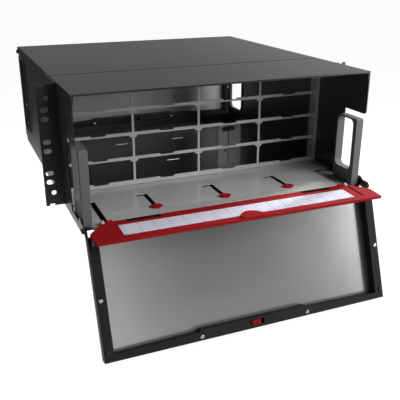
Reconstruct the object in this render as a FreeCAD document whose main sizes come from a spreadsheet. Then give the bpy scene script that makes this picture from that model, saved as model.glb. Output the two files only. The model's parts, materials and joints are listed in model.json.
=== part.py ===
import FreeCAD, Part
import math
import os
import re
import Sketcher

# A 19-inch rack fibre enclosure, four rack units high, in millimetres.
# Every piece is drawn from the chassis datum: X across, Y back from the front edge of the roof,
# Z up from the bottom of the floor. Its Placement then moves it to the part's own origin, the middle
# of the rack-ear hole pattern on the face that meets the rack. The doors and the label holder are
# drawn from their own hinge axes.

V = FreeCAD.Vector
doc = FreeCAD.newDocument("rack_fibre_enclosure")

SIZES = {
    # chassis
    "chassis_width": 430,
    "chassis_height": 176.2,
    "chassis_depth": 470,
    "wall": 1.5,
    "cover_sheet": 1.2,
    "cover_split": 142,
    "cover_flange": 12,
    "cover_groove": 3,
    "cover_lap": 12,
    "cover_hem": 6,
    "cover_tail": 20,
    "fit": 0.3,
    "cut_over": 1,
    "notch_depth": 50.8,
    "notch_bottom": 11.5,
    "notch_top": 113.5,
    "notch_round": 5,
    "arm_end": 4.5,
    "arm_round": 4,
    "arm_top": 14.5,
    "arm_step": 7,
    "bump_top": 18.5,
    "bump_ahead": 1.5,
    "bump_back": 3,
    "bump_foot": 9,
    "lip_set": 3,
    "sill_height": 46,
    "port_margin": 12,
    "port_long": 54,
    "port_bottom": 30,
    "port_drop": 17.2,
    "port_round": 12,
    "tie_slot_long": 26,
    "tie_slot_wide": 6,
    "tie_slot_near": 239,
    "tie_slot_far": 364,
    "tie_slot_spread": 56,
    # rack ears
    "ear_setback": 100,
    "ear_sheet": 2,
    "ear_wide": 26.3,
    "ear_height": 171,
    "ear_flange": 75,
    "slot_inset": 8.75,
    "rack_unit": 44.45,
    "rack_edge": 6.35,
    "slot_long": 10.9,
    "slot_wide": 7,
    "ear_hole": 3.5,
    "ear_hole_inset": 3.5,
    # adapter grid frame
    "frame_front": 123,
    "frame_sheet": 1.5,
    "frame_flange": 24,
    "cell_pitch": 104,
    "row_pitch": 37,
    "row_first": 13.2,
    "stile": 3.4,
    "rail": 4.7,
    "gusset_wide": 4,
    "gusset_high": 3.2,
    "gusset_bevel": 1,
    "rail_notch_wide": 22.5,
    "rail_notch_deep": 2.3,
    # cable tray and its clips
    "tray_top": 8,
    "tray_sheet": 1.2,
    "tray_front": 2.2,
    "tray_neck": 357,
    "tray_shoulder": 77,
    "tray_slot_wide": 6.5,
    "tray_slot_front": 18,
    "tray_slot_back": 80,
    "tee_long": 11,
    "tee_deep": 7,
    "clip_wide": 19,
    "clip_long": 11,
    "clip_thick": 2.4,
    "clip_at": 25,
    "clip_tongue": 10,
    # cable rings and their bases
    "ring_inner": 199.3,
    "ring_thick": 11.5,
    "ring_depth": 49,
    "ring_top": 107,
    "ring_round": 9,
    "ring_corner": 2,
    "ring_front_bar": 8,
    "ring_rear_bar": 3,
    "ring_web": 22,
    "ring_top_bar": 2.5,
    "loop_round": 8,
    "base_inner": 184.5,
    "base_top": 5,
    "base_corner": 208,
    "base_corner_at": 7.4,
    "base_nose": 194.4,
    "base_nose_out": 9.4,
    # anchor bracket
    "anchor_left": 45,
    "anchor_wide": 40,
    "anchor_front": 149.5,
    "anchor_height": 80,
    "anchor_sheet": 1.5,
    "anchor_foot": 14,
    "anchor_round": 8,
    "anchor_slit": 1.5,
    "anchor_slit_at": 18,
    "anchor_slit_low": 14,
    "anchor_eye_long": 23,
    "anchor_eye_wide": 8,
    "anchor_eye_down": 9,
    "anchor_hole": 2,
    "anchor_hole_at": 13,
    "anchor_hole_up": 35,
    # rubber trim
    "trim_lip": 1.5,
    "trim_cover": 4,
    # front door
    "door_axis_out": 17,
    "door_axis_up": 8,
    "door_drop": 150,
    "door_lean": 53.12,
    "door_width": 426.4,
    "door_start": 9,
    "door_end": 168,
    "door_inner": 12.2,
    "door_outer": 4,
    "panel_sheet": 3,
    "side_rail": 13,
    "hinge_rail": 10,
    "latch_rail": 8.5,
    "latch_rail_mid": 11,
    "latch_land": 14,
    "latch_land_long": 162,
    "land_step": 4,
    "lobe_wide": 2.2,
    "lobe_round": 4.5,
    "boss_wide": 6.4,
    "boss_long": 12,
    "boss_from": 9.3,
    "boss_edge": 2.3,
    "boss_high": 3,
    "boss_wall": 1.6,
    "boss_round": 3,
    "insert_proud": 0.4,
    "pin_radius": 2,
    "pin_play": 0.06,
    "pin_head": 3.5,
    "pin_head_thick": 2.5,
    "latch_long": 13,
    "latch_wide": 6.4,
    "latch_travel": 6,
    "latch_depth": 5,
    "latch_proud": 2,
    "latch_from_edge": 7.8,
    "latch_rib": 1.2,
    # label holder
    "holder_axis_out": 2,
    "holder_axis_up": 8.3,
    "holder_droop": 1.5,
    "holder_below": 2.2,
    "holder_above": 0.8,
    "holder_deep": 59.2,
    "holder_half": 208,
    "holder_tip": 210,
    "holder_tip_at": 30.2,
    "holder_neck": 182,
    "holder_shoulder": 191,
    "holder_shoulder_at": 6.7,
    "holder_back": 1.4,
    "window_in": 108,
    "window_out": 156,
    "window_deep": 8.2,
    "label_wide": 341,
    "label_back": 16.4,
    "label_deep": 31,
    "label_sheet": 0.3,
    "rim_high": 0.8,
    "rim_wide": 4,
    "label_side": 15.2,
    "grip_radius": 16,
    "grip_at": 54.2,
    "grip_aside": 4,
    "grip_high": 2,
    "barrel_radius": 2.5,
    "barrel_long": 8,
    "stub_radius": 1.5,
    "stub_long": 6,
    "ear_lug_wide": 4,
    "ear_lug_radius": 3.2,
    # rear door
    "rear_axis_out": 8,
    "rear_axis_down": 10,
    "rear_inner": 7,
    "rear_outer": 6,
    "rear_start": 9,
    "rear_overlap": 6,
    "rear_side_rail": 10.5,
    "rear_top_rail": 10,
    # screws
    "screw_radius": 1.5,
    "screw_head": 2.9,
    "screw_head_thick": 1.6,
    "screw_long": 7,
    "ear_screw_rows": 50,
    "ear_screw_at": 37,
}

sheet = doc.addObject("Spreadsheet::Sheet", "sizes")
for row, (alias, value) in enumerate(SIZES.items(), start=1):
    sheet.set("A%d" % row, alias)
    sheet.set("B%d" % row, str(value))
    sheet.setAlias("B%d" % row, alias)
doc.recompute()


def ex(text):
    """Turn a formula in plain size names into an expression on the sheet."""
    return re.sub(r"[a-z_]+", lambda m: "sizes." + m.group() if m.group() in SIZES else m.group(), str(text))


def number(text):
    """Value of a formula in plain size names."""
    result = sheet.evalExpression(ex(text))
    return float(getattr(result, "Value", result))


# Formulas used by several pieces
HALF = "(chassis_width / 2)"
INSIDE = "(chassis_width / 2 - wall)"
WALL_TOP = "(chassis_height - cover_sheet)"
ARM_FRONT = "(door_axis_out + arm_end)"
ARM_LOW = "(door_axis_up - arm_end)"
REAR_AXIS_Y = "(chassis_depth + rear_axis_out)"
REAR_AXIS_Z = "(chassis_height - rear_axis_down)"
ARM_BACK = "(chassis_depth + rear_axis_out + arm_end)"
DOOR_HALF = "(door_width / 2)"
REAR_HALF = "(chassis_width / 2 - fit)"
FRAME_HALF = "(chassis_width / 2 - wall - fit)"
PORT_BACK = "(chassis_depth - port_margin)"
PORT_FRONT = "(chassis_depth - port_margin - port_long)"
PORT_TOP = "(chassis_height - port_drop)"
EAR_BOTTOM = "((chassis_height - ear_height) / 2)"
EAR_OUT = "(chassis_width / 2 + ear_wide)"
SLOT_LINE = "(chassis_width / 2 + ear_wide - slot_inset)"
EAR_SCREW_Y = "(ear_setback + ear_screw_at)"
EAR_SCREW_ROWS = ("(chassis_height / 2 - ear_screw_rows)", "(chassis_height / 2 + ear_screw_rows)")
PLANES = {"top": "XY_Plane", "front": "XZ_Plane", "side": "YZ_Plane"}
# As many rows of cells as fit under the roof covers' flanges
ROWS = int(number("(chassis_height - cover_flange - rail / 2 - row_first) / row_pitch"))
COLUMNS = 4
STEM_SIDES = 8

sub_parts = []


def new_body(label):
    body = doc.addObject("PartDesign::Body", label)
    body.Label = label
    sub_parts.append(body)
    return body


def place(obj, y="0", z="0", angle=None):
    """Put a piece drawn from (y, z) of the chassis datum into the part's frame, turned about X."""
    turn = number(angle) if angle else 0
    obj.Placement = FreeCAD.Placement(V(0, 0, 0), FreeCAD.Rotation(V(1, 0, 0), turn))
    obj.setExpression("Placement.Base.y", ex("%s - ear_setback" % y))
    obj.setExpression("Placement.Base.z", ex("%s - chassis_height / 2" % z))
    if angle:
        obj.setExpression("Placement.Rotation.Angle", ex(angle))


def sketch(body, view, at="0"):
    """Empty sketch on one of the body's planes, moved along +Z (top), +Y (front) or +X (side)."""
    role = PLANES[view]
    plane = next(f for f in body.Origin.OriginFeatures if f.Role == role)
    sk = body.newObject("Sketcher::SketchObject", body.Label + "_sketch")
    sk.AttachmentSupport = [(plane, "")]
    sk.MapMode = "FlatFace"
    sign = "-" if view == "front" else ""
    sk.setExpression("AttachmentOffset.Base.z", ex("%s(%s)" % (sign, at)))
    return sk


def fix(sk, geo, point, u, v=None):
    """Tie one point of the sketch to formulas for its two coordinates."""
    for kind, formula in (("DistanceX", u), ("DistanceY", v)):
        if formula is not None:
            index = sk.addConstraint(Sketcher.Constraint(kind, -1, 1, geo, point, number(formula)))
            sk.setExpression("Constraints[%d]" % index, ex(formula))


def spot(u, v):
    return V(number(u), number(v), 0)


def polygon(sk, points):
    """Closed outline of straight edges through points given as formulas."""
    first = sk.GeometryCount
    count = len(points)
    for i, (u, v) in enumerate(points):
        sk.addGeometry(Part.LineSegment(spot(u, v), spot(*points[(i + 1) % count])))
    for i, (u, v) in enumerate(points):
        sk.addConstraint(Sketcher.Constraint("Coincident", first + i, 2, first + (i + 1) % count, 1))
        fix(sk, first + i, 1, u, v)


def rectangle(sk, low_u, low_v, high_u, high_v):
    polygon(sk, [(low_u, low_v), (high_u, low_v), (high_u, high_v), (low_u, high_v)])


def circle(sk, u, v, radius):
    geo = sk.addGeometry(Part.Circle(spot(u, v), V(0, 0, 1), number(radius)))
    fix(sk, geo, 3, u, v)
    index = sk.addConstraint(Sketcher.Constraint("Radius", geo, number(radius)))
    sk.setExpression("Constraints[%d]" % index, ex(radius))


def arc(sk, centre, radius, start, end):
    return sk.addGeometry(Part.ArcOfCircle(
        Part.Circle(spot(*centre), V(0, 0, 1), number(radius)), math.radians(start), math.radians(end)))


def rounded(sk, low_u, low_v, high_u, high_v, radius):
    """Rectangle with four round corners."""
    left, right = "(%s + %s)" % (low_u, radius), "(%s - %s)" % (high_u, radius)
    low, high = "(%s + %s)" % (low_v, radius), "(%s - %s)" % (high_v, radius)
    runs = [((left, low_v), (right, low_v)), ((high_u, low), (high_u, high)),
            ((right, high_v), (left, high_v)), ((low_u, high), (low_u, low))]
    corners = [(right, low), (right, high), (left, high), (left, low)]
    first = sk.GeometryCount
    for start, end in runs:
        sk.addGeometry(Part.LineSegment(spot(*start), spot(*end)))
    for i, centre in enumerate(corners):
        geo = arc(sk, centre, radius, 90 * i - 90, 90 * i)
        sk.addConstraint(Sketcher.Constraint("Coincident", first + i, 2, geo, 1))
        sk.addConstraint(Sketcher.Constraint("Coincident", first + (i + 1) % len(runs), 1, geo, 2))
        fix(sk, geo, 3, centre[0])
    for i, (start, end) in enumerate(runs):
        fix(sk, first + i, 1, *start)
        fix(sk, first + i, 2, *end)


def slot(sk, u, v, length, width):
    """Slot along u with round ends, about its middle."""
    half = "((%s - %s) / 2)" % (length, width)
    left, right = "(%s - %s)" % (u, half), "(%s + %s)" % (u, half)
    low, high = "(%s - %s / 2)" % (v, width), "(%s + %s / 2)" % (v, width)
    first = sk.GeometryCount
    runs = [((left, low), (right, low)), ((right, high), (left, high))]
    for start, end in runs:
        sk.addGeometry(Part.LineSegment(spot(*start), spot(*end)))
    for i, centre in enumerate([right, left]):
        geo = arc(sk, (centre, v), "%s / 2" % width, 180 * i - 90, 180 * i + 90)
        sk.addConstraint(Sketcher.Constraint("Coincident", first + i, 2, geo, 1))
        sk.addConstraint(Sketcher.Constraint("Coincident", first + 1 - i, 1, geo, 2))
        fix(sk, geo, 3, centre)
    for i, (start, end) in enumerate(runs):
        fix(sk, first + i, 1, *start)
        fix(sk, first + i, 2, *end)


def pad(body, sk, length, both=False, back=False):
    """Add material towards +Z, +Y or +X of the sketch's view, or the other way with back."""
    feature = body.newObject("PartDesign::Pad", body.Label + "_pad")
    feature.Profile = sk
    feature.setExpression("Length", ex(length))
    feature.Midplane = both
    front = sk.AttachmentSupport[0][0].Role == PLANES["front"]
    feature.Reversed = front != back
    return feature


def cut(body, sk, depth=None, back=False):
    """Remove material right through, or to a depth towards +Z, +Y or +X (the other way with back)."""
    feature = body.newObject("PartDesign::Pocket", body.Label + "_cut")
    feature.Profile = sk
    if depth is None:
        feature.Type = "ThroughAll"
        feature.Midplane = True
    else:
        feature.setExpression("Length", ex(depth))
        front = sk.AttachmentSupport[0][0].Role == PLANES["front"]
        feature.Reversed = front == back
    return feature


def fillet(body, radius, along, corners):
    """Round the straight edges along one axis that pass through the given corners."""
    doc.recompute()
    base = body.Tip
    axis = {"x": V(1, 0, 0), "y": V(0, 1, 0), "z": V(0, 0, 1)}[along]
    targets = [[number(value) for value in corner] for corner in corners]
    names = []
    for index, edge in enumerate(base.Shape.Edges, start=1):
        if edge.Curve.TypeId != "Part::GeomLine" or abs(abs(edge.Curve.Direction.dot(axis)) - 1) > 1e-6:
            continue
        middle = edge.CenterOfMass
        seen = [c for c, a in zip(middle, axis) if abs(a) < 0.5]
        if any(all(abs(s - t) < 1e-3 for s, t in zip(seen, target)) for target in targets):
            names.append("Edge%d" % index)
    feature = body.newObject("PartDesign::Fillet", body.Label + "_fillet")
    feature.Base = (base, names)
    feature.setExpression("Radius", ex(radius))


def mirrored(sign, low, high):
    """Two formulas in rising order, on the right for sign 1 and on the left for sign -1."""
    pair = ["(%d * %s)" % (sign, low), "(%d * %s)" % (sign, high)]
    return pair if sign > 0 else pair[::-1]


SIDES = (("left", -1), ("right", 1))


def base_shell():
    """Floor, side walls and rear sill folded from one sheet, with arms for both doors' hinge pins."""
    body = new_body("base_shell")
    section = sketch(body, "front", "-" + ARM_FRONT)
    inside = "(%s)" % INSIDE
    polygon(section, [("-" + HALF, "0"), (HALF, "0"), (HALF, WALL_TOP), (inside, WALL_TOP),
                      (inside, "wall"), ("-" + inside, "wall"), ("-" + inside, WALL_TOP),
                      ("-" + HALF, WALL_TOP)])
    pad(body, section, "%s + %s" % (ARM_FRONT, ARM_BACK))
    ahead = "(-%s - cut_over)" % ARM_FRONT
    behind = "(%s + cut_over)" % ARM_BACK
    over = "(chassis_height + cut_over)"
    front = sketch(body, "side")
    polygon(front, [(ahead, "arm_top"), ("-arm_step", "arm_top"), ("-bump_ahead", "bump_top"),
                    ("bump_back", "bump_top"), ("bump_foot", "notch_bottom"), ("notch_depth", "notch_bottom"),
                    ("notch_depth", "notch_top"), ("0", "notch_top"), ("0", over), (ahead, over)])
    rectangle(front, ahead, "-cut_over", "0", ARM_LOW)
    cut(body, front)
    rear = sketch(body, "side")
    rectangle(rear, "chassis_depth", "-cut_over", behind, "(%s - arm_end)" % REAR_AXIS_Z)
    cut(body, rear)
    floor_ends = sketch(body, "top")
    rectangle(floor_ends, "-" + inside, ahead, inside, "0")
    rectangle(floor_ends, "-" + inside, "chassis_depth", inside, behind)
    cut(body, floor_ends)
    sill = sketch(body, "front", "chassis_depth")
    rectangle(sill, "-" + inside, "0", inside, "sill_height")
    pad(body, sill, "wall", back=True)
    lip = sketch(body, "front", "(tray_front + lip_set)")
    rectangle(lip, "-(tray_neck / 2)", "0", "(tray_neck / 2)", "(tray_top - tray_sheet)")
    pad(body, lip, "wall")
    openings = sketch(body, "side")
    rounded(openings, PORT_FRONT, "port_bottom", PORT_BACK, PORT_TOP, "port_round")
    circle(openings, "-door_axis_out", "door_axis_up", "pin_radius")
    circle(openings, REAR_AXIS_Y, REAR_AXIS_Z, "pin_radius")
    for height in EAR_SCREW_ROWS:
        circle(openings, EAR_SCREW_Y, height, "screw_radius")
    cut(body, openings)
    slots = sketch(body, "top")
    for across, along in (("0", "tie_slot_near"), ("-tie_slot_spread", "tie_slot_far"),
                          ("tie_slot_spread", "tie_slot_far")):
        slot(slots, across, along, "tie_slot_long", "tie_slot_wide")
    cut(body, slots)
    fillet(body, "arm_round", "x", [("-" + ARM_FRONT, ARM_LOW), ("-" + ARM_FRONT, "arm_top"),
                                    (ARM_BACK, "(%s - arm_end)" % REAR_AXIS_Z), (ARM_BACK, WALL_TOP)])
    fillet(body, "notch_round", "x", [("0", "notch_top"), ("notch_depth", "notch_bottom")])
    place(body)


def top_cover(label, start, end):
    """One half of the roof: a sheet on the wall tops with a flange down inside each wall."""
    body = new_body(label)
    section = sketch(body, "front", start)
    outer = "(%s - fit)" % INSIDE
    inner = "(%s - fit - cover_sheet)" % INSIDE
    low = "(chassis_height - cover_flange)"
    right = [(HALF, "chassis_height"), (HALF, WALL_TOP), (outer, WALL_TOP), (outer, low), (inner, low),
             (inner, WALL_TOP)]
    left = [("-" + u, v) for u, v in reversed(right)]
    polygon(section, right + left)
    pad(body, section, "%s - %s" % (end, start))
    return body


def front_top_cover():
    """Front half of the roof, with a hemmed front edge and a sunk lip that carries the rear half."""
    end = "(cover_split - cover_groove)"
    body = top_cover("front_top_cover", "0", end)
    folds = sketch(body, "top", WALL_TOP)
    inner = "(%s - fit - cover_sheet)" % INSIDE
    rectangle(folds, "-" + inner, "0", inner, "cover_hem")
    rectangle(folds, "-" + inner, "(%s - cover_lap)" % end, inner, "(cover_split + cover_lap)")
    pad(body, folds, "cover_sheet", back=True)
    place(body)


def rear_top_cover():
    """Rear half of the roof, notched over the sunk lip of the front half and folded down above the door."""
    body = top_cover("rear_top_cover", "cover_split", "chassis_depth")
    inner = "(%s - fit - cover_sheet)" % INSIDE
    tail = sketch(body, "front", "chassis_depth")
    rectangle(tail, "-" + inner, "(chassis_height - cover_tail)", inner, WALL_TOP)
    pad(body, tail, "cover_sheet", back=True)
    room = sketch(body, "top", WALL_TOP)
    rectangle(room, "-" + INSIDE, "(cover_split - cover_groove)", INSIDE, "(cover_split + cover_lap + fit)")
    cut(body, room, "cover_flange", back=True)
    place(body)


def rack_ear(label, sign):
    """Folded L bracket: a flange on the side wall and a slotted face towards the rack."""
    body = new_body(label)
    plan = sketch(body, "top", EAR_BOTTOM)
    near = "(%d * %s)" % (sign, HALF)
    web = "(%d * (%s + ear_sheet))" % (sign, HALF)
    far = "(%d * %s)" % (sign, EAR_OUT)
    line = "(%d * %s)" % (sign, SLOT_LINE)
    face = "(ear_setback - ear_sheet)"
    end = "(ear_setback + ear_flange)"
    polygon(plan, [(near, face), (far, face), (far, "ear_setback"), (web, "ear_setback"), (web, end),
                   (near, end)])
    pad(body, plan, "ear_height")
    holes = sketch(body, "front")
    middle = "(chassis_height / 2 + %d * %s)"
    for up in (-1, 1):
        for height in ("rack_edge", "(rack_unit - rack_edge)", "(rack_unit + rack_edge)"):
            slot(holes, line, middle % (up, height), "slot_long", "slot_wide")
        inset = "(%d * (%s - ear_hole_inset))" % (sign, SLOT_LINE)
        circle(holes, inset, middle % (up, "(1.5 * rack_unit)"), "ear_hole")
        end_slot = middle % (up, "(2 * rack_unit - rack_edge)")
        mouth = middle % (up, "(2 * rack_unit)")
        low, high = (end_slot, mouth) if up > 0 else (mouth, end_slot)
        rectangle(holes, "(%s - slot_wide / 2)" % line, low, "(%s + slot_wide / 2)" % line, high)
    cut(body, holes)
    fixings = sketch(body, "side")
    for height in EAR_SCREW_ROWS:
        circle(fixings, EAR_SCREW_Y, height, "screw_radius")
    cut(body, fixings)
    place(body)


def adapter_frame():
    """Light grid of cells with gussets under each crossing and side flanges to the walls."""
    body = new_body("adapter_frame")
    low = "(tray_top + fit)"
    high = "(row_first + %d * row_pitch + rail / 2)" % ROWS
    outline = sketch(body, "front", "frame_front")
    rectangle(outline, "-" + FRAME_HALF, low, FRAME_HALF, high)
    pad(body, outline, "frame_sheet")
    flanges = sketch(body, "top", low)
    back = "(frame_front + frame_flange)"
    for sign in (-1, 1):
        u0, u1 = mirrored(sign, "(%s - frame_sheet)" % FRAME_HALF, FRAME_HALF)
        rectangle(flanges, u0, "frame_front", u1, back)
    pad(body, flanges, "%s - %s" % (high, low))
    first_left = "(-%d * cell_pitch / 2 + stile / 2)" % COLUMNS
    first_right = "(-%d * cell_pitch / 2 + cell_pitch - stile / 2)" % COLUMNS
    middle = "(-%d * cell_pitch / 2 + cell_pitch / 2)" % COLUMNS
    cells = []
    for row in range(ROWS):
        floor = "(row_first + %d * row_pitch + rail / 2)" % row
        roof = "(row_first + %d * row_pitch - rail / 2)" % (row + 1)
        notch = "(%s - rail_notch_deep)" % floor
        step = "(%s - gusset_high)" % roof
        bevel = "(%s + gusset_bevel)" % step
        n_left, n_right = "(%s - rail_notch_wide / 2)" % middle, "(%s + rail_notch_wide / 2)" % middle
        g_left, g_right = "(%s + gusset_wide)" % first_left, "(%s - gusset_wide)" % first_right
        cell = sketch(body, "front", "frame_front")
        polygon(cell, [(first_left, floor), (n_left, floor), (n_left, notch), (n_right, notch),
                       (n_right, floor), (first_right, floor), (first_right, step),
                       ("(%s + gusset_bevel)" % g_right, step), (g_right, bevel), (g_right, roof),
                       (g_left, roof), (g_left, bevel), ("(%s - gusset_bevel)" % g_left, step),
                       (first_left, step)])
        cells.append(cut(body, cell, "frame_sheet"))
    doc.recompute()
    pattern = body.newObject("PartDesign::LinearPattern", "cell_columns")
    pattern.Originals = cells
    pattern.Direction = (cells[0].Profile[0], ["H_Axis"])
    pattern.setExpression("Length", ex("%d * cell_pitch" % (COLUMNS - 1)))
    pattern.Occurrences = COLUMNS
    body.Tip = pattern
    doc.recompute()
    fixings = sketch(body, "side")
    for y, z in frame_fixings():
        circle(fixings, y, z, "screw_radius")
    cut(body, fixings)
    place(body)


def frame_fixings():
    """Screw places on the grid frame's side flanges."""
    y = "(frame_front + frame_flange - 2 * screw_head - cut_over)"
    return [(y, "(row_first + %s * row_pitch)" % level) for level in (0.5, ROWS - 0.5)]


def cable_tray():
    """Raised sheet in front of the grid, on the chassis's front lip and its rear fold, with three T slots."""
    body = new_body("cable_tray")
    back = "(frame_front - fit)"
    under = "(tray_top - tray_sheet)"
    section = sketch(body, "side")
    polygon(section, [("tray_front", under), ("tray_front", "tray_top"), (back, "tray_top"), (back, "wall"),
                      ("(%s - tray_sheet)" % back, "wall"), ("(%s - tray_sheet)" % back, under)])
    pad(body, section, "2 * %s" % FRAME_HALF, both=True)
    corners = sketch(body, "top")
    for sign in (-1, 1):
        u0, u1 = mirrored(sign, "(tray_neck / 2)", "(%s + cut_over)" % HALF)
        rectangle(corners, u0, "-cut_over", u1, "tray_shoulder")
    cut(body, corners)
    slots = sketch(body, "top")
    tee = "(tray_slot_back - tee_deep)"
    for column in (-1, 0, 1):
        left = "(%d * cell_pitch - tray_slot_wide / 2)" % column
        right = "(%d * cell_pitch + tray_slot_wide / 2)" % column
        arm = "(%s - tee_long)" % left
        polygon(slots, [(left, "tray_slot_front"), (right, "tray_slot_front"), (right, "tray_slot_back"),
                        (arm, "tray_slot_back"), (arm, tee), (left, tee)])
    cut(body, slots)
    place(body)


def tray_clip(label, column):
    """Six-sided clip on the tray with a tongue that fills the front of its slot."""
    body = new_body(label)
    x = "(%d * cell_pitch" % column
    nose, side = "(clip_at - clip_long / 2)", "clip_at"
    tail = "(clip_at + clip_long / 2)"
    head = sketch(body, "top", "tray_top")
    polygon(head, [(x + " - clip_wide / 4)", nose), (x + " + clip_wide / 4)", nose),
                   (x + " + clip_wide / 2)", side), (x + " + clip_wide / 4)", tail),
                   (x + " - clip_wide / 4)", tail), (x + " - clip_wide / 2)", side)])
    pad(body, head, "clip_thick")
    tongue = sketch(body, "top", "(tray_top - tray_sheet)")
    rectangle(tongue, x + " - tray_slot_wide / 2 + fit / 2)", "(clip_at - clip_tongue / 2)",
              x + " + tray_slot_wide / 2 - fit / 2)", "(clip_at + clip_tongue / 2)")
    pad(body, tongue, "tray_sheet")
    place(body)


def cable_ring(label, sign):
    """Moulded cable loop: a deep front bar, thin top and rear bars and a web down to the base."""
    body = new_body(label)
    loop = sketch(body, "side", "(%d * ring_inner)" % sign)
    rectangle(loop, "0", "base_top", "ring_depth", "ring_top")
    rounded(loop, "ring_front_bar", "(base_top + ring_web)", "(ring_depth - ring_rear_bar)",
            "(ring_top - ring_top_bar)", "loop_round")
    pad(body, loop, "ring_thick", back=sign < 0)
    fillet(body, "ring_round", "x", [("ring_depth", "ring_top")])
    fillet(body, "ring_corner", "x", [("0", "ring_top")])
    place(body)


def ring_base(label, sign):
    """Plate under a cable ring in the chassis's front corner, with a pointed nose and the holder's lug."""
    body = new_body(label)
    outer_u = "(%d * (%s - fit))" % (sign, INSIDE)
    inner_u = "(%d * base_inner)" % sign
    shoulder = "(tray_shoulder - fit)"
    plate = sketch(body, "top", "wall")
    polygon(plate, [(inner_u, "-base_nose_out"), ("(%d * base_nose)" % sign, "-base_nose_out"),
                    ("(%d * base_corner)" % sign, "base_corner_at"), (outer_u, "base_corner_at"),
                    (outer_u, shoulder), (inner_u, shoulder)])
    pad(body, plate, "base_top - wall")
    lug = sketch(body, "side", inner_u)
    circle(lug, "-holder_axis_out", "holder_axis_up", "ear_lug_radius")
    pad(body, lug, "ear_lug_wide", back=sign < 0)
    web = sketch(body, "side", inner_u)
    rectangle(web, "(-holder_axis_out - ear_lug_radius)", "wall", "ear_lug_radius", "holder_axis_up")
    pad(body, web, "ear_lug_wide", back=sign < 0)
    bore = sketch(body, "side", inner_u)
    circle(bore, "-holder_axis_out", "holder_axis_up", "(stub_radius + pin_play)")
    cut(body, bore, "ear_lug_wide + cut_over", back=sign < 0)
    place(body)


def anchor_bracket():
    """Folded anchor on the floor behind the grid: two tongues parted by a slit, an oblong eye and a foot."""
    body = new_body("anchor_bracket")
    right = "(anchor_left + anchor_wide)"
    middle = "(anchor_left + anchor_slit_at)"
    face = sketch(body, "front", "anchor_front")
    rectangle(face, "anchor_left", "wall", right, "anchor_height")
    pad(body, face, "anchor_sheet")
    foot = sketch(body, "top", "wall")
    rectangle(foot, "anchor_left", "anchor_front", right, "(anchor_front + anchor_sheet + anchor_foot)")
    pad(body, foot, "anchor_sheet")
    eye = sketch(body, "front")
    slot(eye, middle, "(anchor_height - anchor_eye_down)", "anchor_eye_long", "anchor_eye_wide")
    circle(eye, "(anchor_left + anchor_hole_at)", "anchor_hole_up", "anchor_hole")
    cut(body, eye)
    slit = sketch(body, "front")
    rectangle(slit, "(%s - anchor_slit / 2)" % middle, "anchor_slit_low", "(%s + anchor_slit / 2)" % middle,
              "(anchor_height + cut_over)")
    cut(body, slit)
    fillet(body, "anchor_round", "y", [("anchor_left", "anchor_height"), (right, "anchor_height")])
    place(body)


def edge_trim(label, sign):
    """Rubber channel pushed over the edge of a rear cable opening."""
    body = new_body(label)
    inside = "(%d * (%s - trim_lip))" % (sign, INSIDE)
    ring = sketch(body, "side", inside)

    def grown(by, radius):
        return ("(%s - %s)" % (PORT_FRONT, by), "(port_bottom - %s)" % by, "(%s + %s)" % (PORT_BACK, by),
                "(%s + %s)" % (PORT_TOP, by), radius)

    rounded(ring, *grown("trim_cover", "(port_round + trim_cover)"))
    rounded(ring, *grown("(-trim_lip)", "(port_round - trim_lip)"))
    pad(body, ring, "wall + 2 * trim_lip", back=sign < 0)
    groove = sketch(body, "side", "(%d * %s)" % (sign, INSIDE))
    rounded(groove, *grown("(trim_cover + cut_over)", "(port_round + trim_cover + cut_over)"))
    rounded(groove, *grown("0", "port_round"))
    cut(body, groove, "wall", back=sign < 0)
    place(body)


def hinge_pin(label, sign, y, z, door_half):
    """Headed pin fixed in a wall's hinge arm and reaching through the door's lobe."""
    body = new_body(label)
    head = sketch(body, "side", "(%d * %s)" % (sign, HALF))
    circle(head, "0", "0", "pin_head")
    pad(body, head, "pin_head_thick", back=sign < 0)
    shank = sketch(body, "side", "(%d * %s)" % (sign, HALF))
    circle(shank, "0", "0", "pin_radius")
    pad(body, shank, "%s - %s + lobe_wide" % (HALF, door_half), back=sign > 0)
    place(body, y, z)


def lobes(body, door_half, reach, away):
    """Hinge lobes at both ends of a door, round the axis and joined to its edge at the reach."""
    for sign in (-1, 1):
        start = "(%d * %s)" % (sign, door_half)
        knuckle = sketch(body, "side", start)
        circle(knuckle, "0", "0", "lobe_round")
        pad(body, knuckle, "lobe_wide", back=sign > 0)
        web = sketch(body, "side", start)
        low, high = ("0", reach) if away > 0 else (reach, "0")
        rectangle(web, "-lobe_round", low, "lobe_round", high)
        pad(body, web, "lobe_wide", back=sign > 0)
    bores = sketch(body, "side")
    circle(bores, "0", "0", "(pin_radius + pin_play)")
    cut(body, bores)


DOOR_SPOTS = [("-(door_width / 2 - 0.4 * side_rail)", "((door_start + door_end) / 2)"),
              ("(door_width / 2 - 0.4 * side_rail)", "((door_start + door_end) / 2)"),
              ("-(latch_land_long / 2)", "(door_end - latch_rail_mid / 2)"),
              ("(latch_land_long / 2)", "(door_end - latch_rail_mid / 2)")]
CORNER_SPOTS = [("-(door_width / 2 - 0.4 * side_rail)", "(door_end - side_rail)"),
                ("(door_width / 2 - 0.4 * side_rail)", "(door_end - side_rail)")]
DOOR_PLACE = ("(-door_axis_out)", "door_axis_up", "(180 deg - atan(door_lean / door_drop))")


def boss(sk, sign, inset):
    """Long round-cornered outline by the door's hinge corner, drawn in by the inset."""
    u0, u1 = mirrored(sign, "(%s - boss_edge - boss_wide + %s)" % (DOOR_HALF, inset),
                      "(%s - boss_edge - %s)" % (DOOR_HALF, inset))
    rounded(sk, u0, "(boss_from + %s)" % inset, u1, "(boss_from + boss_long - %s)" % inset,
            "(boss_round - %s)" % inset)


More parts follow.
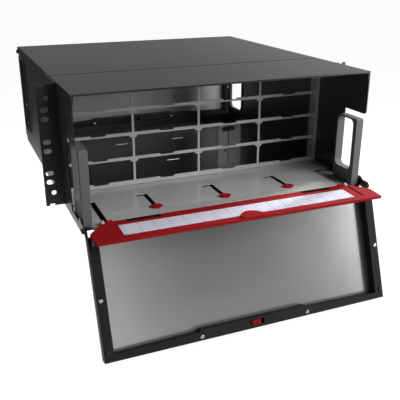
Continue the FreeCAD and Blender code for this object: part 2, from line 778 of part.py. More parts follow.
def front_door_frame():
    """Moulded rails behind the door's panel, wider at the latch, with a lobe on each hinge pin."""
    body = new_body("front_door_frame")
    seat = "(panel_sheet - door_outer)"
    outline = sketch(body, "front", seat)
    rectangle(outline, "-" + DOOR_HALF, "door_start", DOOR_HALF, "door_end")
    pad(body, outline, "door_inner - %s" % seat)
    side = "(%s - side_rail)" % DOOR_HALF
    land, foot = "(latch_land_long / 2)", "(latch_land_long / 2 + land_step)"
    top, mid, shelf = "(door_end - latch_rail)", "(door_end - latch_rail_mid)", "(door_end - latch_land)"
    right = [(side, "(door_start + hinge_rail)"), (side, top), (foot, mid), (land, shelf)]
    left = [("-" + u, v) for u, v in reversed(right)]
    window = sketch(body, "front", seat)
    polygon(window, right + left)
    cut(body, window)
    lobes(body, DOOR_HALF, "door_start", 1)
    bosses = sketch(body, "front", "door_inner")
    for sign in (-1, 1):
        boss(bosses, sign, "0")
        boss(bosses, sign, "boss_wall")
    pad(body, bosses, "boss_high")
    pocket = sketch(body, "front", "door_inner")
    rectangle(pocket, "-(latch_long / 2 + fit)", "(door_end - latch_from_edge - latch_wide / 2 - fit)",
              "(latch_long / 2 + latch_travel + fit)", "(door_end - latch_from_edge + latch_wide / 2 + fit)")
    cut(body, pocket, "latch_depth", back=True)
    holes = sketch(body, "front", "door_inner")
    for x, z in DOOR_SPOTS + CORNER_SPOTS:
        circle(holes, x, z, "screw_radius")
    cut(body, holes, "screw_long", back=True)
    place(body, *DOOR_PLACE)


def hinge_insert(label, sign):
    """Light insert that fills the long boss at one hinge corner of the front door."""
    body = new_body(label)
    fill = sketch(body, "front", "door_inner")
    boss(fill, sign, "(boss_wall + fit / 2)")
    pad(body, fill, "boss_high + insert_proud")
    place(body, *DOOR_PLACE)


def front_door_panel():
    """Satin sheet over the whole outside of the door."""
    body = new_body("front_door_panel")
    face = sketch(body, "front", "-door_outer")
    rectangle(face, "-" + DOOR_HALF, "door_start", DOOR_HALF, "door_end")
    pad(body, face, "panel_sheet")
    place(body, *DOOR_PLACE)


def slide_latch(label, face, edge, proud, where):
    """Latch slider in its pocket, with finger ribs on top; face and proud point out of the rail."""
    body = new_body(label)
    back = proud < 0
    bottom = "(%s - (%d) * (latch_depth - fit))" % (face, proud)
    low, high = "(%s - latch_wide / 2)" % edge, "(%s + latch_wide / 2)" % edge
    block = sketch(body, "front", bottom)
    rectangle(block, "-(latch_long / 2)", low, "(latch_long / 2)", high)
    pad(body, block, "latch_depth - fit + latch_proud", back=back)
    ribs = sketch(body, "front", "(%s + (%d) * latch_proud)" % (face, proud))
    for step in (-1, 0, 1):
        middle = "(%d * latch_long / 4)" % step
        rectangle(ribs, "(%s - latch_rib / 2)" % middle, low, "(%s + latch_rib / 2)" % middle, high)
    pad(body, ribs, "latch_rib / 2", back=back)
    place(body, *where)


def label_holder():
    """Red fold-out holder: a plate with raised, pointed wings, bars along the label and a finger grip."""
    body = new_body("label_holder")
    under = "(-holder_below)"
    front = "(-holder_deep)"
    shoulder = "(-holder_shoulder_at)"
    right = [("holder_half", front), ("holder_tip", "(-holder_tip_at)"), ("holder_shoulder", shoulder),
             ("holder_neck", shoulder), ("holder_neck", "(-holder_back)"),
             ("window_out", "(-holder_back)"), ("window_out", "(-window_deep)"),
             ("window_in", "(-window_deep)"), ("window_in", "(-holder_back)")]
    left = [("-" + u, v) for u, v in reversed(right)]
    plan = sketch(body, "top", under)
    polygon(plan, right + left)
    pad(body, plan, "holder_below + holder_above + rim_high")
    label_half = "(label_wide / 2 + fit)"
    label_front = "(-label_back - label_deep - fit)"
    label_rear = "(-label_back + fit)"
    wing = "(%s + label_side)" % label_half
    recess = sketch(body, "top", "(holder_above + rim_high)")
    rectangle(recess, "-" + wing, label_front, wing, "cut_over")
    cut(body, recess, "rim_high", back=True)
    rim = sketch(body, "top", "holder_above")
    rectangle(rim, "-" + label_half, label_rear, label_half, "(%s + rim_wide)" % label_rear)
    pad(body, rim, "rim_high")
    grip = sketch(body, "top", under)
    circle(grip, "grip_aside", "(-grip_at)", "grip_radius")
    pad(body, grip, "holder_below + holder_above + grip_high")
    ahead = sketch(body, "top", under)
    rectangle(ahead, "(grip_aside - grip_radius - cut_over)", "(-grip_at - grip_radius - cut_over)",
              "(grip_aside + grip_radius + cut_over)", front)
    cut(body, ahead)
    for sign in (-1, 1):
        start = "(%d * (holder_neck - barrel_long))" % sign
        barrel = sketch(body, "side", start)
        circle(barrel, "0", "0", "barrel_radius")
        pad(body, barrel, "barrel_long", back=sign < 0)
        stub = sketch(body, "side", "(%d * holder_neck)" % sign)
        circle(stub, "0", "0", "stub_radius")
        pad(body, stub, "stub_long", back=sign < 0)
    place(body, "(-holder_axis_out)", "holder_axis_up", "holder_droop")


def label_strip():
    """Paper label lying in the holder's rim, cut round the finger grip."""
    body = new_body("label_strip")
    strip = sketch(body, "top", "holder_above")
    rectangle(strip, "-(label_wide / 2)", "(-label_back - label_deep)", "(label_wide / 2)", "(-label_back)")
    pad(body, strip, "label_sheet")
    bite = sketch(body, "top", "holder_above")
    circle(bite, "grip_aside", "(-grip_at)", "(grip_radius + fit)")
    cut(body, bite)
    place(body, "(-holder_axis_out)", "holder_axis_up", "holder_droop")


REAR_SILL = "(sill_height - %s)" % REAR_AXIS_Z
REAR_LOW = "(sill_height - rear_overlap - %s)" % REAR_AXIS_Z
REAR_PLACE = (REAR_AXIS_Y, REAR_AXIS_Z)
REAR_SPOTS = [("-(%s - 0.5 * rear_side_rail)" % REAR_HALF, "((%s - rear_start) / 2)" % REAR_SILL),
              ("(%s - 0.5 * rear_side_rail)" % REAR_HALF, "((%s - rear_start) / 2)" % REAR_SILL),
              ("-(latch_land_long / 2)", "(%s + latch_rail_mid / 2)" % REAR_SILL),
              ("(latch_land_long / 2)", "(%s + latch_rail_mid / 2)" % REAR_SILL)]


def rear_door_frame():
    """Rails of the rear door, which hangs from its top edge and overlaps the sill, wider at the latch."""
    body = new_body("rear_door_frame")
    outline = sketch(body, "front", "-rear_inner")
    rectangle(outline, "-" + REAR_HALF, REAR_LOW, REAR_HALF, "-rear_start")
    pad(body, outline, "rear_inner + rear_outer - panel_sheet")
    side = "(%s - rear_side_rail)" % REAR_HALF
    land, foot = "(latch_land_long / 2)", "(latch_land_long / 2 + land_step)"
    top, mid, shelf = [REAR_SILL + " + " + rail for rail in ("latch_rail", "latch_rail_mid", "latch_land")]
    right = [(land, shelf), (foot, mid), (side, top), (side, "(-rear_start - rear_top_rail)")]
    left = [("-" + u, v) for u, v in reversed(right)]
    window = sketch(body, "front", "-rear_inner")
    polygon(window, right + left)
    cut(body, window)
    lobes(body, DOOR_HALF, "(-rear_start)", -1)
    pocket = sketch(body, "front", "-rear_inner")
    middle = "(%s + latch_from_edge)" % REAR_SILL
    rectangle(pocket, "-(latch_long / 2 + fit)", "(%s - latch_wide / 2 - fit)" % middle,
              "(latch_long / 2 + latch_travel + fit)", "(%s + latch_wide / 2 + fit)" % middle)
    cut(body, pocket, "latch_depth")
    holes = sketch(body, "front", "-rear_inner")
    for x, z in REAR_SPOTS:
        circle(holes, x, z, "screw_radius")
    cut(body, holes, "screw_long")
    place(body, *REAR_PLACE)


def rear_door_panel():
    """Satin sheet over the whole outside of the rear door."""
    body = new_body("rear_door_panel")
    face = sketch(body, "front", "rear_outer - panel_sheet")
    rectangle(face, "-" + REAR_HALF, REAR_LOW, REAR_HALF, "-rear_start")
    pad(body, face, "panel_sheet")
    place(body, *REAR_PLACE)


def screws(label, spots, turn, shank, where):
    """A group of pan-head screws; each spot is the seat of a head, the turn points heads outwards."""
    pieces = []
    for x, y, z, facing in spots:
        head = doc.addObject("Part::Cylinder", label + "_head")
        head.setExpression("Radius", ex("screw_head"))
        head.setExpression("Height", ex("screw_head_thick"))
        stem = doc.addObject("Part::Prism", label + "_stem")
        stem.Polygon = STEM_SIDES
        stem.setExpression("Circumradius", ex("screw_radius"))
        stem.setExpression("Height", ex(shank))
        stem.setExpression("Placement.Base.z", ex("-(%s)" % shank))
        screw = doc.addObject("Part::MultiFuse", label + "_screw")
        screw.Shapes = [head, stem]
        screw.Placement = FreeCAD.Placement(V(0, 0, 0), FreeCAD.Rotation(V(0, 0, 1), turn(facing)))
        for axis, formula in zip("xyz", (x, y, z)):
            screw.setExpression("Placement.Base." + axis, ex(formula))
        pieces.append(screw)
    group = doc.addObject("Part::Compound", label)
    group.Links = pieces
    group.Label = label
    place(group, *where)
    sub_parts.append(group)


def all_screws():
    """Every screw of the part, in one group for each kind and door."""
    def across(sign):
        return V(sign, 0, 0)

    def along(sign):
        return V(0, sign, 0)

    ear = [("%d * (%s + ear_sheet)" % (sign, HALF), EAR_SCREW_Y, height, sign)
           for sign in (-1, 1) for height in EAR_SCREW_ROWS]
    screws("ear_screws", ear, across, "ear_sheet + wall", ())
    frame = [("%d * (%s - frame_sheet)" % (sign, FRAME_HALF), y, z, -sign)
             for sign in (-1, 1) for y, z in frame_fixings()]
    screws("frame_screws", frame, across, "frame_sheet", ())
    door = [(x, "door_inner", z, 1) for x, z in DOOR_SPOTS]
    screws("front_door_screws", door, along, "screw_long", DOOR_PLACE)
    corner = [(x, "door_inner", z, 1) for x, z in CORNER_SPOTS]
    screws("front_corner_screws", corner, along, "screw_long", DOOR_PLACE)
    rear = [(x, "-rear_inner", z, -1) for x, z in REAR_SPOTS]
    screws("rear_door_screws", rear, along, "screw_long", REAR_PLACE)


def build():
    base_shell()
    front_top_cover()
    rear_top_cover()
    adapter_frame()
    cable_tray()
    anchor_bracket()
    for column, name in enumerate(("left", "centre", "right"), start=-1):
        tray_clip(name + "_tray_clip", column)
    for name, sign in SIDES:
        rack_ear(name + "_rack_ear", sign)
        cable_ring(name + "_cable_ring", sign)
        ring_base(name + "_ring_base", sign)
        edge_trim(name + "_edge_trim", sign)
        hinge_pin(name + "_hinge_pin", sign, "(-door_axis_out)", "door_axis_up", DOOR_HALF)
        hinge_insert(name + "_hinge_insert", sign)
        hinge_pin(name + "_rear_hinge_pin", sign, REAR_AXIS_Y, REAR_AXIS_Z, DOOR_HALF)
    front_door_frame()
    front_door_panel()
    slide_latch("front_latch", "door_inner", "(door_end - latch_from_edge)", 1, DOOR_PLACE)
    label_holder()
    label_strip()
    rear_door_frame()
    rear_door_panel()
    slide_latch("rear_latch", "(-rear_inner)", "(%s + latch_from_edge)" % REAR_SILL, -1, REAR_PLACE)
    all_screws()
    doc.recompute()


def export():
    """Stop on any failed object, then write one file for each sub-part."""
    for obj in doc.Objects:
        if "Invalid" in obj.State or "Error" in obj.State:
            raise RuntimeError("%s failed: %s" % (obj.Label, obj.State))
    for piece in sub_parts:
        if piece.Shape.isNull() or not piece.Shape.isValid():
            raise RuntimeError("%s has no valid shape" % piece.Label)
    os.makedirs("parts", exist_ok=True)
    for piece in sub_parts:
        piece.Shape.exportStep(os.path.join("parts", piece.Label + ".step"))


build()
export()
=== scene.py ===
import json
import math

import bmesh
import bpy
from mathutils import Matrix, Vector


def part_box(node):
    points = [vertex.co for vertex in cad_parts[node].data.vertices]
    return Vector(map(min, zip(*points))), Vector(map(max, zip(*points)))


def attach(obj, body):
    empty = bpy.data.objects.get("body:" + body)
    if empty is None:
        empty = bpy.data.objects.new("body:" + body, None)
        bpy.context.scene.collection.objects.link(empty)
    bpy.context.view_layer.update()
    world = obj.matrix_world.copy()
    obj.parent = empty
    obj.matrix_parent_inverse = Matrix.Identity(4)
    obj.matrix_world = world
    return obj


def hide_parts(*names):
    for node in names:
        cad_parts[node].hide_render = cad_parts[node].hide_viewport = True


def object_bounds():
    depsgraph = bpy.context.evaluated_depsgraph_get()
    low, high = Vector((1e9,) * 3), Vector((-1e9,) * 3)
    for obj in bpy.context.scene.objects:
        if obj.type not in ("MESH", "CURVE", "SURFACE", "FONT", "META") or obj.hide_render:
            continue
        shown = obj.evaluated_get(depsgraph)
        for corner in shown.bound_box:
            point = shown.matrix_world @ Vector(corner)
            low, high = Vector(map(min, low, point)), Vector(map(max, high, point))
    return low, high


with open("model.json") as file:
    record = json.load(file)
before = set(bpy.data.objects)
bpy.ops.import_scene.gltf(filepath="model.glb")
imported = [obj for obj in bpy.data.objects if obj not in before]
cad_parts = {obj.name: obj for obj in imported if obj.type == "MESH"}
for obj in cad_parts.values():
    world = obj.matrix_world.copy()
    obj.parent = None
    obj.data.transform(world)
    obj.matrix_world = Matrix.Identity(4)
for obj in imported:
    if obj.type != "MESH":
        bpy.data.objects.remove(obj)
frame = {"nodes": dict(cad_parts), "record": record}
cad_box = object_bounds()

# Rack fibre enclosure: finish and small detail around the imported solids, in metres.

MM = 0.001
NODES = frame["nodes"]
SCENE = bpy.context.scene

# Camera, as measured from the standard rack hole pattern in the photograph
CAMERA_AT = Vector((-0.34997, -0.81785, 0.23595))
CAMERA_YAW = 22.72
CAMERA_PITCH = 21.42
SENSOR = 36.0
IMAGE_SIZE = 400
FOCAL_PIXELS = 611.8


def add_camera():
    data = bpy.data.cameras.new("camera")
    data.sensor_width = SENSOR
    data.lens = FOCAL_PIXELS * SENSOR / IMAGE_SIZE
    camera = bpy.data.objects.new("camera", data)
    camera.location = CAMERA_AT
    camera.rotation_euler = (math.radians(90 - CAMERA_PITCH), 0, math.radians(-CAMERA_YAW))
    SCENE.collection.objects.link(camera)
    SCENE.camera = camera


# Studio: a white paper in the camera's view, a dim floor round it, a soft surround and softboxes
FLOOR_GAP = 0.002
PAPER_LIFT = 0.0005
FLOOR_SIZE = 60.0
FLOOR_GREY = 0.12
PAPER_WHITE = 0.92
PAPER_GLOW = 0.85
GLOW_STRENGTH = 1.1
PAPER_NEAR = 0.45
PAPER_FAR = 12.0
PAPER_SPREAD = math.tan(math.radians(20))
WORLD_FRONT = 0.07
WORLD_BACK = 0.285
WORLD_TURN = (-0.2, 0.55)
WORLD_LOW = 0.3
WORLD_RISE = (0.05, 0.4)
WORLD_RIGHT = 2.2
WORLD_SIDE = (0.3, 0.7)
HORIZON = 1.0
HORIZON_BAND = (0.05, 0.11)
HORIZON_END = (0.0, 0.4)


def math_node(nodes, links, operation, first, second=0.0):
    """Math node on two sockets or numbers; gives its output."""
    node = nodes.new("ShaderNodeMath")
    node.operation = operation
    for socket, value in zip(node.inputs, (first, second)):
        if isinstance(value, (int, float)):
            socket.default_value = value
        else:
            links.new(value, socket)
    return node.outputs[0]


def map_range(nodes, links, value, low, high, at_low, at_high):
    """Smooth change from one number to another as a value goes from low to high; gives its output."""
    node = nodes.new("ShaderNodeMapRange")
    node.interpolation_type = "SMOOTHSTEP"
    for name, number in (("From Min", low), ("From Max", high), ("To Min", at_low), ("To Max", at_high)):
        node.inputs[name].default_value = number
    links.new(value, node.inputs["Value"])
    return node.outputs["Result"]


def ground(name, seen_by):
    """Ground of a diffuse grey that keeps shadows, and is white to the kinds of ray named."""
    material = bpy.data.materials.new(name)
    material.use_nodes = True
    nodes, links = material.node_tree.nodes, material.node_tree.links
    nodes.clear()
    path = nodes.new("ShaderNodeLightPath")
    seen = path.outputs[seen_by[0]]
    for kind in seen_by[1:]:
        seen = math_node(nodes, links, "MAXIMUM", seen, path.outputs[kind])
    base = nodes.new("ShaderNodeBsdfDiffuse")
    shade = nodes.new("ShaderNodeMix")
    shade.data_type = "RGBA"
    shade.inputs["A"].default_value = (FLOOR_GREY, FLOOR_GREY, FLOOR_GREY, 1)
    shade.inputs["B"].default_value = (PAPER_WHITE, PAPER_WHITE, PAPER_WHITE, 1)
    links.new(path.outputs["Is Camera Ray"], shade.inputs["Factor"])
    links.new(shade.outputs["Result"], base.inputs["Color"])
    glow = nodes.new("ShaderNodeEmission")
    glow.inputs["Strength"].default_value = GLOW_STRENGTH
    mix = nodes.new("ShaderNodeMixShader")
    links.new(math_node(nodes, links, "MULTIPLY", seen, PAPER_GLOW), mix.inputs["Fac"])
    links.new(base.outputs[0], mix.inputs[1])
    links.new(glow.outputs[0], mix.inputs[2])
    out = nodes.new("ShaderNodeOutputMaterial")
    links.new(mix.outputs[0], out.inputs["Surface"])
    return material


def flat_sheet(name, corners, height, material):
    """Flat stage piece through the corners, at a height."""
    mesh = bpy.data.meshes.new(name)
    mesh.from_pydata([(x, y, height) for x, y in corners], [], [range(len(corners))])
    mesh.materials.append(material)
    sheet = bpy.data.objects.new(name, mesh)
    SCENE.collection.objects.link(sheet)


def add_ground():
    half = FLOOR_SIZE / 2
    level = cad_box[0][2] - FLOOR_GAP
    square = [(-half, -half), (half, -half), (half, half), (-half, half)]
    flat_sheet("floor", square, level - PAPER_LIFT, ground("studio_floor", ["Is Camera Ray"]))
    turn = Matrix.Rotation(math.radians(-CAMERA_YAW), 2)
    near, far = PAPER_NEAR, PAPER_FAR
    wedge = [(-near, near), (near, near), (far, far), (-far, far)]
    paper = [turn @ Vector((x * PAPER_SPREAD, y)) + CAMERA_AT.xy for x, y in wedge]
    seen_by = ["Is Camera Ray", "Is Glossy Ray", "Is Transmission Ray"]
    flat_sheet("paper", paper, level, ground("white_paper", seen_by))


def set_world():
    """Soft surround: bright behind the object, dim above the camera, with a pale band at the horizon."""
    world = bpy.data.worlds.new("studio")
    world.use_nodes = True
    SCENE.world = world
    nodes, links = world.node_tree.nodes, world.node_tree.links
    coords = nodes.new("ShaderNodeTexCoord")
    axes = nodes.new("ShaderNodeSeparateXYZ")
    links.new(coords.outputs["Generated"], axes.inputs[0])
    depth = map_range(nodes, links, axes.outputs["Y"], *WORLD_TURN, WORLD_FRONT, WORLD_BACK)
    rise = map_range(nodes, links, axes.outputs["Z"], *WORLD_RISE, WORLD_LOW, 1.0)
    side = map_range(nodes, links, axes.outputs["X"], *WORLD_SIDE, 1.0, WORLD_RIGHT)
    for share in (rise, side):
        depth = math_node(nodes, links, "MULTIPLY", depth, share)
    band = math_node(nodes, links, "MULTIPLY",
                     map_range(nodes, links, axes.outputs["Z"], *HORIZON_BAND, HORIZON, 0.0),
                     map_range(nodes, links, axes.outputs["Y"], *HORIZON_END, 1.0, 0.0))
    light = nodes["Background"]
    light.inputs["Color"].default_value = (1, 1, 1, 1)
    links.new(math_node(nodes, links, "MAXIMUM", depth, band), light.inputs["Strength"])


# Softboxes: place, the point they face, width, height, power, spread in degrees
LAMPS = {
    "key_softbox": ((0.98, -0.95, 0.86), (0.0, 0.05, -0.02), 1.0, 1.0, 27.0, 180),
    "left_strip": ((0.15, -2.2, 0.25), (0.0, 0.0, -0.1), 0.35, 1.2, 1.8, 180),
    "right_strip": ((1.6, -1.35, 0.1), (0.2, -0.15, -0.1), 0.8, 1.0, 15.0, 180),
    "left_side": ((-1.1, 0.45, 0.25), (0.0, 0.36, 0.0), 0.6, 0.6, 1.2, 50),
    "right_side": ((1.1, 0.45, 0.25), (0.0, 0.36, 0.0), 0.6, 0.6, 20.0, 50),
}
# The key is left out of reflections, so that black sheet keeps its tone from every side
SOFT_ONLY = ("key_softbox",)


def add_lamps():
    for name, (place, aim, wide, high, power, spread) in LAMPS.items():
        data = bpy.data.lights.new(name, "AREA")
        data.shape = "RECTANGLE"
        data.size = wide
        data.size_y = high
        data.energy = power
        data.spread = math.radians(spread)
        lamp = bpy.data.objects.new(name, data)
        lamp.location = place
        lamp.visible_glossy = name not in SOFT_ONLY
        lamp.rotation_euler = (Vector(aim) - Vector(place)).to_track_quat("-Z", "Y").to_euler()
        SCENE.collection.objects.link(lamp)


# Finishes: clouds that vary colour and gloss, and a fine grain with softened edges
CLOUD_SCALE = 18.0
CLOUD_DETAIL = 5.0
CLOUD_SPAN = (0.3, 0.7)
ROUGH_SPREAD = 0.08
GRAIN_DETAIL = 3.0
BUMP_STRENGTH = 0.4
EDGE_ROUND = 0.4 * MM
EDGE_SAMPLES = 4
COAT_ROUGHNESS = 0.3


def surface(name, colour, roughness, grain_size, grain_depth, mottle=0.08, metallic=0.0, specular=0.5, coat=0.0):
    """Finish with a mottled colour and gloss, a fine grain and softened edges."""
    material = bpy.data.materials.new(name)
    material.use_nodes = True
    nodes, links = material.node_tree.nodes, material.node_tree.links
    shader = nodes["Principled BSDF"]
    shader.inputs["Metallic"].default_value = metallic
    shader.inputs["Specular IOR Level"].default_value = specular
    shader.inputs["Coat Weight"].default_value = coat
    shader.inputs["Coat Roughness"].default_value = COAT_ROUGHNESS
    coords = nodes.new("ShaderNodeTexCoord")
    cloud = nodes.new("ShaderNodeTexNoise")
    cloud.inputs["Scale"].default_value = CLOUD_SCALE
    cloud.inputs["Detail"].default_value = CLOUD_DETAIL
    links.new(coords.outputs["Object"], cloud.inputs["Vector"])
    tint = nodes.new("ShaderNodeValToRGB")
    for stop, position, share in zip(tint.color_ramp.elements, CLOUD_SPAN, (1 - mottle, 1 + mottle)):
        stop.position = position
        stop.color = [c * share for c in colour] + [1]
    links.new(cloud.outputs["Fac"], tint.inputs["Fac"])
    links.new(tint.outputs["Color"], shader.inputs["Base Color"])
    gloss = nodes.new("ShaderNodeMapRange")
    gloss.inputs["To Min"].default_value = roughness * (1 - ROUGH_SPREAD)
    gloss.inputs["To Max"].default_value = roughness * (1 + ROUGH_SPREAD)
    links.new(cloud.outputs["Fac"], gloss.inputs["Value"])
    links.new(gloss.outputs["Result"], shader.inputs["Roughness"])
    grain = nodes.new("ShaderNodeTexNoise")
    grain.inputs["Scale"].default_value = 1 / grain_size
    grain.inputs["Detail"].default_value = GRAIN_DETAIL
    links.new(coords.outputs["Object"], grain.inputs["Vector"])
    edge = nodes.new("ShaderNodeBevel")
    edge.samples = EDGE_SAMPLES
    edge.inputs["Radius"].default_value = EDGE_ROUND
    bump = nodes.new("ShaderNodeBump")
    bump.inputs["Strength"].default_value = BUMP_STRENGTH
    bump.inputs["Distance"].default_value = grain_depth
    links.new(grain.outputs["Fac"], bump.inputs["Height"])
    links.new(edge.outputs["Normal"], bump.inputs["Normal"])
    links.new(bump.outputs["Normal"], shader.inputs["Normal"])
    return material


FINISHES = {
    "black_steel": dict(colour=(0.0045, 0.0045, 0.0048), roughness=0.32, grain_size=0.9 * MM,
                        grain_depth=0.02 * MM, specular=0.6, coat=0.7),
    "light_grey": dict(colour=(0.43, 0.43, 0.42), roughness=0.1, grain_size=1.5 * MM, grain_depth=0.004 * MM,
                       specular=0.7),
    "ring_grey": dict(colour=(0.13, 0.13, 0.13), roughness=0.4, grain_size=0.6 * MM, grain_depth=0.03 * MM),
    "bracket_grey": dict(colour=(0.16, 0.16, 0.158), roughness=0.3, grain_size=1.0 * MM, grain_depth=0.01 * MM),
    "red_plastic": dict(colour=(0.3, 0.0085, 0.0125), roughness=0.6, grain_size=0.5 * MM, grain_depth=0.02 * MM,
                        specular=0.12),
    "door_black": dict(colour=(0.019, 0.019, 0.0185), roughness=0.5, grain_size=0.6 * MM,
                       grain_depth=0.03 * MM, specular=0.12),
    "panel_grey": dict(colour=(0.36, 0.36, 0.352), roughness=0.25, grain_size=2.5 * MM, grain_depth=0.0015 * MM,
                       metallic=0.75, mottle=0.03),
    "label_paper": dict(colour=(0.66, 0.66, 0.76), roughness=0.6, grain_size=0.3 * MM, grain_depth=0.01 * MM),
    "bright_screw": dict(colour=(0.6, 0.6, 0.59), roughness=0.25, grain_size=0.3 * MM, grain_depth=0.01 * MM,
                         metallic=1.0),
    "black_screw": dict(colour=(0.012, 0.012, 0.012), roughness=0.35, grain_size=0.3 * MM,
                        grain_depth=0.01 * MM),
    "panel_grey_rear": dict(colour=(0.36, 0.36, 0.352), roughness=0.35, grain_size=2.5 * MM,
                            grain_depth=0.004 * MM, metallic=0.15, mottle=0.03),
    "rubber": dict(colour=(0.006, 0.006, 0.006), roughness=0.6, grain_size=0.5 * MM, grain_depth=0.03 * MM),
}
MATERIALS = {slot: surface(slot, **look) for slot, look in FINISHES.items()}

# Label ruling, across the strip and along it
LABEL_COLUMNS = 16
LABEL_ROWS = 4
LABEL_MARGIN = 3.5 * MM
TICK = (1.7 * MM, 0.55 * MM)
RULE = 0.12 * MM
INK = (0.16, 0.16, 0.19, 1)
RULE_SHARE = 0.35


def rule_label(material):
    """Print an even ruling on the paper: short ticks in columns and fine lines between the rows."""
    nodes, links = material.node_tree.nodes, material.node_tree.links
    shader = nodes["Principled BSDF"]
    low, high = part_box("label_strip")
    axes = nodes.new("ShaderNodeSeparateXYZ")
    coords = nodes.new("ShaderNodeTexCoord")
    links.new(coords.outputs["Object"], axes.inputs[0])

    def from_line(axis, begin, pitch):
        """Distance from the nearest line of an even ruling."""
        steps = math_node(nodes, links, "DIVIDE",
                          math_node(nodes, links, "SUBTRACT", axes.outputs[axis], begin), pitch)
        return math_node(nodes, links, "MULTIPLY", math_node(nodes, links, "PINGPONG", steps, 0.5), pitch)

    column = (high[0] - low[0] - 2 * LABEL_MARGIN) / LABEL_COLUMNS
    row = (high[1] - low[1]) / LABEL_ROWS
    across = from_line("X", low[0] + LABEL_MARGIN, column)
    middle = from_line("Y", low[1] + row / 2, row)
    tick = math_node(nodes, links, "MULTIPLY", math_node(nodes, links, "LESS_THAN", across, TICK[0]),
                     math_node(nodes, links, "LESS_THAN", middle, TICK[1]))
    line = math_node(nodes, links, "LESS_THAN", from_line("Y", low[1], 2 * row), RULE)
    ink = math_node(nodes, links, "MAXIMUM", tick, math_node(nodes, links, "MULTIPLY", line, RULE_SHARE))
    paper = shader.inputs["Base Color"].links[0].from_socket
    print_mix = nodes.new("ShaderNodeMix")
    print_mix.data_type = "RGBA"
    print_mix.inputs["B"].default_value = INK
    links.new(ink, print_mix.inputs["Factor"])
    links.new(paper, print_mix.inputs["A"])
    links.new(print_mix.outputs["Result"], shader.inputs["Base Color"])


def dress_nodes():
    """Give every CAD node the finish of its material slot."""
    for part in frame["record"]["subparts"]:
        mesh = NODES[part["node"]].data
        mesh.materials.clear()
        mesh.materials.append(MATERIALS[part["material_slot"]])


BODY_OF = {node: body for body, names in frame["record"]["behaviour"]["bodies"].items() for node in names}
SLOT_OF = {part["node"]: part["material_slot"] for part in frame["record"]["subparts"]}


def stand_for(node, name, mesh, finish=None):
    """Show a mesh in place of a CAD node, on the same body and in its slot's finish unless another is named."""
    mesh.materials.clear()
    mesh.materials.append(MATERIALS[finish or SLOT_OF[node]])
    piece = bpy.data.objects.new(name, mesh)
    SCENE.collection.objects.link(piece)
    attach(piece, BODY_OF[node])
    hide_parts(node)


# Rear sill: it and the door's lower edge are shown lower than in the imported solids. The sill's points are those near
# the rear plane whose height over the floor lies between its foot and its reach.
SILL_DROP = 33 * MM
SILL_SHEET = 2.5 * MM
SILL_FOOT = 10 * MM
SILL_REACH = 60 * MM


def lowered(node, moves):
    """Copy of a node's mesh with the points that are picked moved down."""
    mesh = NODES[node].data.copy()
    for vert in mesh.vertices:
        if moves(vert.co):
            vert.co.z -= SILL_DROP
    return mesh


DOOR_MIDDLE = sum(corner[2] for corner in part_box("rear_door_frame")) / 2
FLOOR_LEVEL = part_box("base_shell")[0][2]
REAR_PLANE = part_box("rear_top_cover")[1][1]


def below_door_middle(point):
    return point.z < DOOR_MIDDLE


def on_sill(point):
    return abs(point.y - REAR_PLANE) < SILL_SHEET and SILL_FOOT < point.z - FLOOR_LEVEL < SILL_REACH


def lower_rear_sill():
    """Show the shell, the rear door and its latch with the lower edge moved down."""
    stand_for("base_shell", "base_shell_low_sill", lowered("base_shell", on_sill))
    for node in ("rear_door_frame", "rear_latch"):
        stand_for(node, node + "_low", lowered(node, below_door_middle))
    panel = lowered("rear_door_panel", below_door_middle)
    stand_for("rear_door_panel", "rear_door_panel_low", panel, "panel_grey_rear")


# Screws: a domed head with a cross recess on the plain shank
HEAD_SIDES = 24
HEAD_DOME = [(1.0, 0.30), (0.95, 0.62), (0.84, 0.85), (0.68, 0.97)]
CROSS_REACH = 0.52
CROSS_WIDTH = 0.15
CROSS_DEPTH = 0.6
CROSS_TAPER = 0.8
# Limits for telling a plain screw's faces and its head apart
WELD = 0.01 * MM
CROWN_BAND = 0.02 * MM
SEAT_BAND = 0.1 * MM
RIM_SHARE = 0.9
NORMAL_DIGITS = 2
OFFSET_DIGITS = 4


def islands(mesh):
    """A bmesh of the mesh, and the faces of each of its separate solids."""
    bm = bmesh.new()
    bm.from_mesh(mesh)
    bmesh.ops.remove_doubles(bm, verts=bm.verts, dist=WELD)
    left, groups = set(bm.faces), []
    while left:
        group, edge = set(), [min(left, key=lambda face: face.index)]
        while edge:
            face = edge.pop()
            if face in group:
                continue
            group.add(face)
            edge.extend(other for side in face.edges for other in side.link_faces if other not in group)
        left -= group
        groups.append(sorted(group, key=lambda face: face.index))
    return bm, groups


def measure_screw(faces):
    """Axis, seat, head radius, head height, shank radius and shank length of a plain screw solid."""
    areas = {}
    for face in faces:
        offset = round(face.normal.dot(face.verts[0].co), OFFSET_DIGITS)
        key = tuple(round(c, NORMAL_DIGITS) for c in face.normal) + (offset,)
        areas[key] = areas.get(key, 0.0) + face.calc_area()
    top = max(areas, key=areas.get)
    axis = Vector(top[:3]).normalized()
    points = {vert for face in faces for vert in face.verts}
    heights = [vert.co.dot(axis) for vert in points]
    crown = [vert.co for vert in points if vert.co.dot(axis) > max(heights) - CROWN_BAND]
    centre = sum(crown, Vector()) / len(crown)
    radii = [((vert.co - centre) - axis * (vert.co - centre).dot(axis)).length for vert in points]
    head = max(radii)
    wide = [height for height, radius in zip(heights, radii) if radius > RIM_SHARE * head]
    shank = max(radius for height, radius in zip(heights, radii) if height < min(wide) - SEAT_BAND)
    thick = max(heights) - min(wide)
    return axis, centre - axis * thick, head, thick, shank, min(wide) - min(heights)


def ring(bm, place, radius, height):
    """Circle of points round the screw's axis."""
    return [bm.verts.new(place @ Vector((radius * math.cos(a), radius * math.sin(a), height)))
            for a in (2 * math.pi * k / HEAD_SIDES for k in range(HEAD_SIDES))]


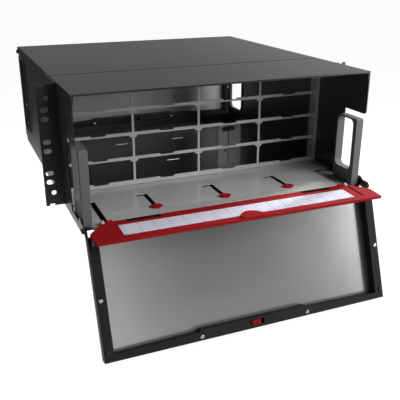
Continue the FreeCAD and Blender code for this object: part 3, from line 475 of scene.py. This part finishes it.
def loop_edges(bm, verts):
    return [bm.edges.get((a, b)) or bm.edges.new((a, b)) for a, b in zip(verts, verts[1:] + verts[:1])]


def band(bm, lower, upper):
    for k in range(len(lower)):
        bm.faces.new((lower[k - 1], lower[k], upper[k], upper[k - 1]))


def cross(bm, place, reach, half, height):
    """Outline of a cross with four arms."""
    arm = [(reach, half), (half, half), (half, reach)]
    outline = []
    for quarter in range(4):
        turn = Matrix.Rotation(quarter * math.pi / 2, 2)
        outline += [turn @ Vector(point) for point in arm]
    return [bm.verts.new(place @ Vector((x, y, height))) for x, y in outline]


def add_screw(bm, axis, seat, head, thick, shank, length):
    """Add one screw: shank, domed head and cross recess."""
    place = Matrix.Translation(seat) @ axis.to_track_quat("Z", "Y").to_matrix().to_4x4()
    end = ring(bm, place, shank, -length)
    bm.faces.new(list(reversed(end)))
    rings = [end, ring(bm, place, shank, 0), ring(bm, place, head, 0)]
    rings += [ring(bm, place, head * radius, thick * height) for radius, height in HEAD_DOME]
    for lower, upper in zip(rings, rings[1:]):
        band(bm, lower, upper)
    crown = thick * HEAD_DOME[-1][1]
    mouth = cross(bm, place, head * CROSS_REACH, head * CROSS_WIDTH, crown)
    bed_reach = head * CROSS_REACH * CROSS_TAPER
    bed = cross(bm, place, bed_reach, head * CROSS_WIDTH, crown - thick * CROSS_DEPTH)
    bmesh.ops.triangle_fill(bm, edges=loop_edges(bm, rings[-1]) + loop_edges(bm, mouth), use_beauty=True)
    band(bm, mouth, bed)
    bm.faces.new(bed)


def cut_screw_heads(node):
    """Screws of a node again, with domed heads and cross recesses, standing for the plain ones."""
    source = lowered(node, below_door_middle) if node == "rear_door_screws" else NODES[node].data
    plain, groups = islands(source)
    bm = bmesh.new()
    for faces in groups:
        add_screw(bm, *measure_screw(faces))
    plain.free()
    bmesh.ops.recalc_face_normals(bm, faces=bm.faces)
    mesh = bpy.data.meshes.new(node + "_cross_head")
    bm.to_mesh(mesh)
    bm.free()
    stand_for(node, node + "_cross_head", mesh)


SCENE.view_settings.view_transform = "Standard"
add_camera()
add_ground()
set_world()
add_lamps()
dress_nodes()
rule_label(MATERIALS["label_paper"])
lower_rear_sill()
for screw_node in [node for node in NODES if node.endswith("_screws")]:
    cut_screw_heads(screw_node)
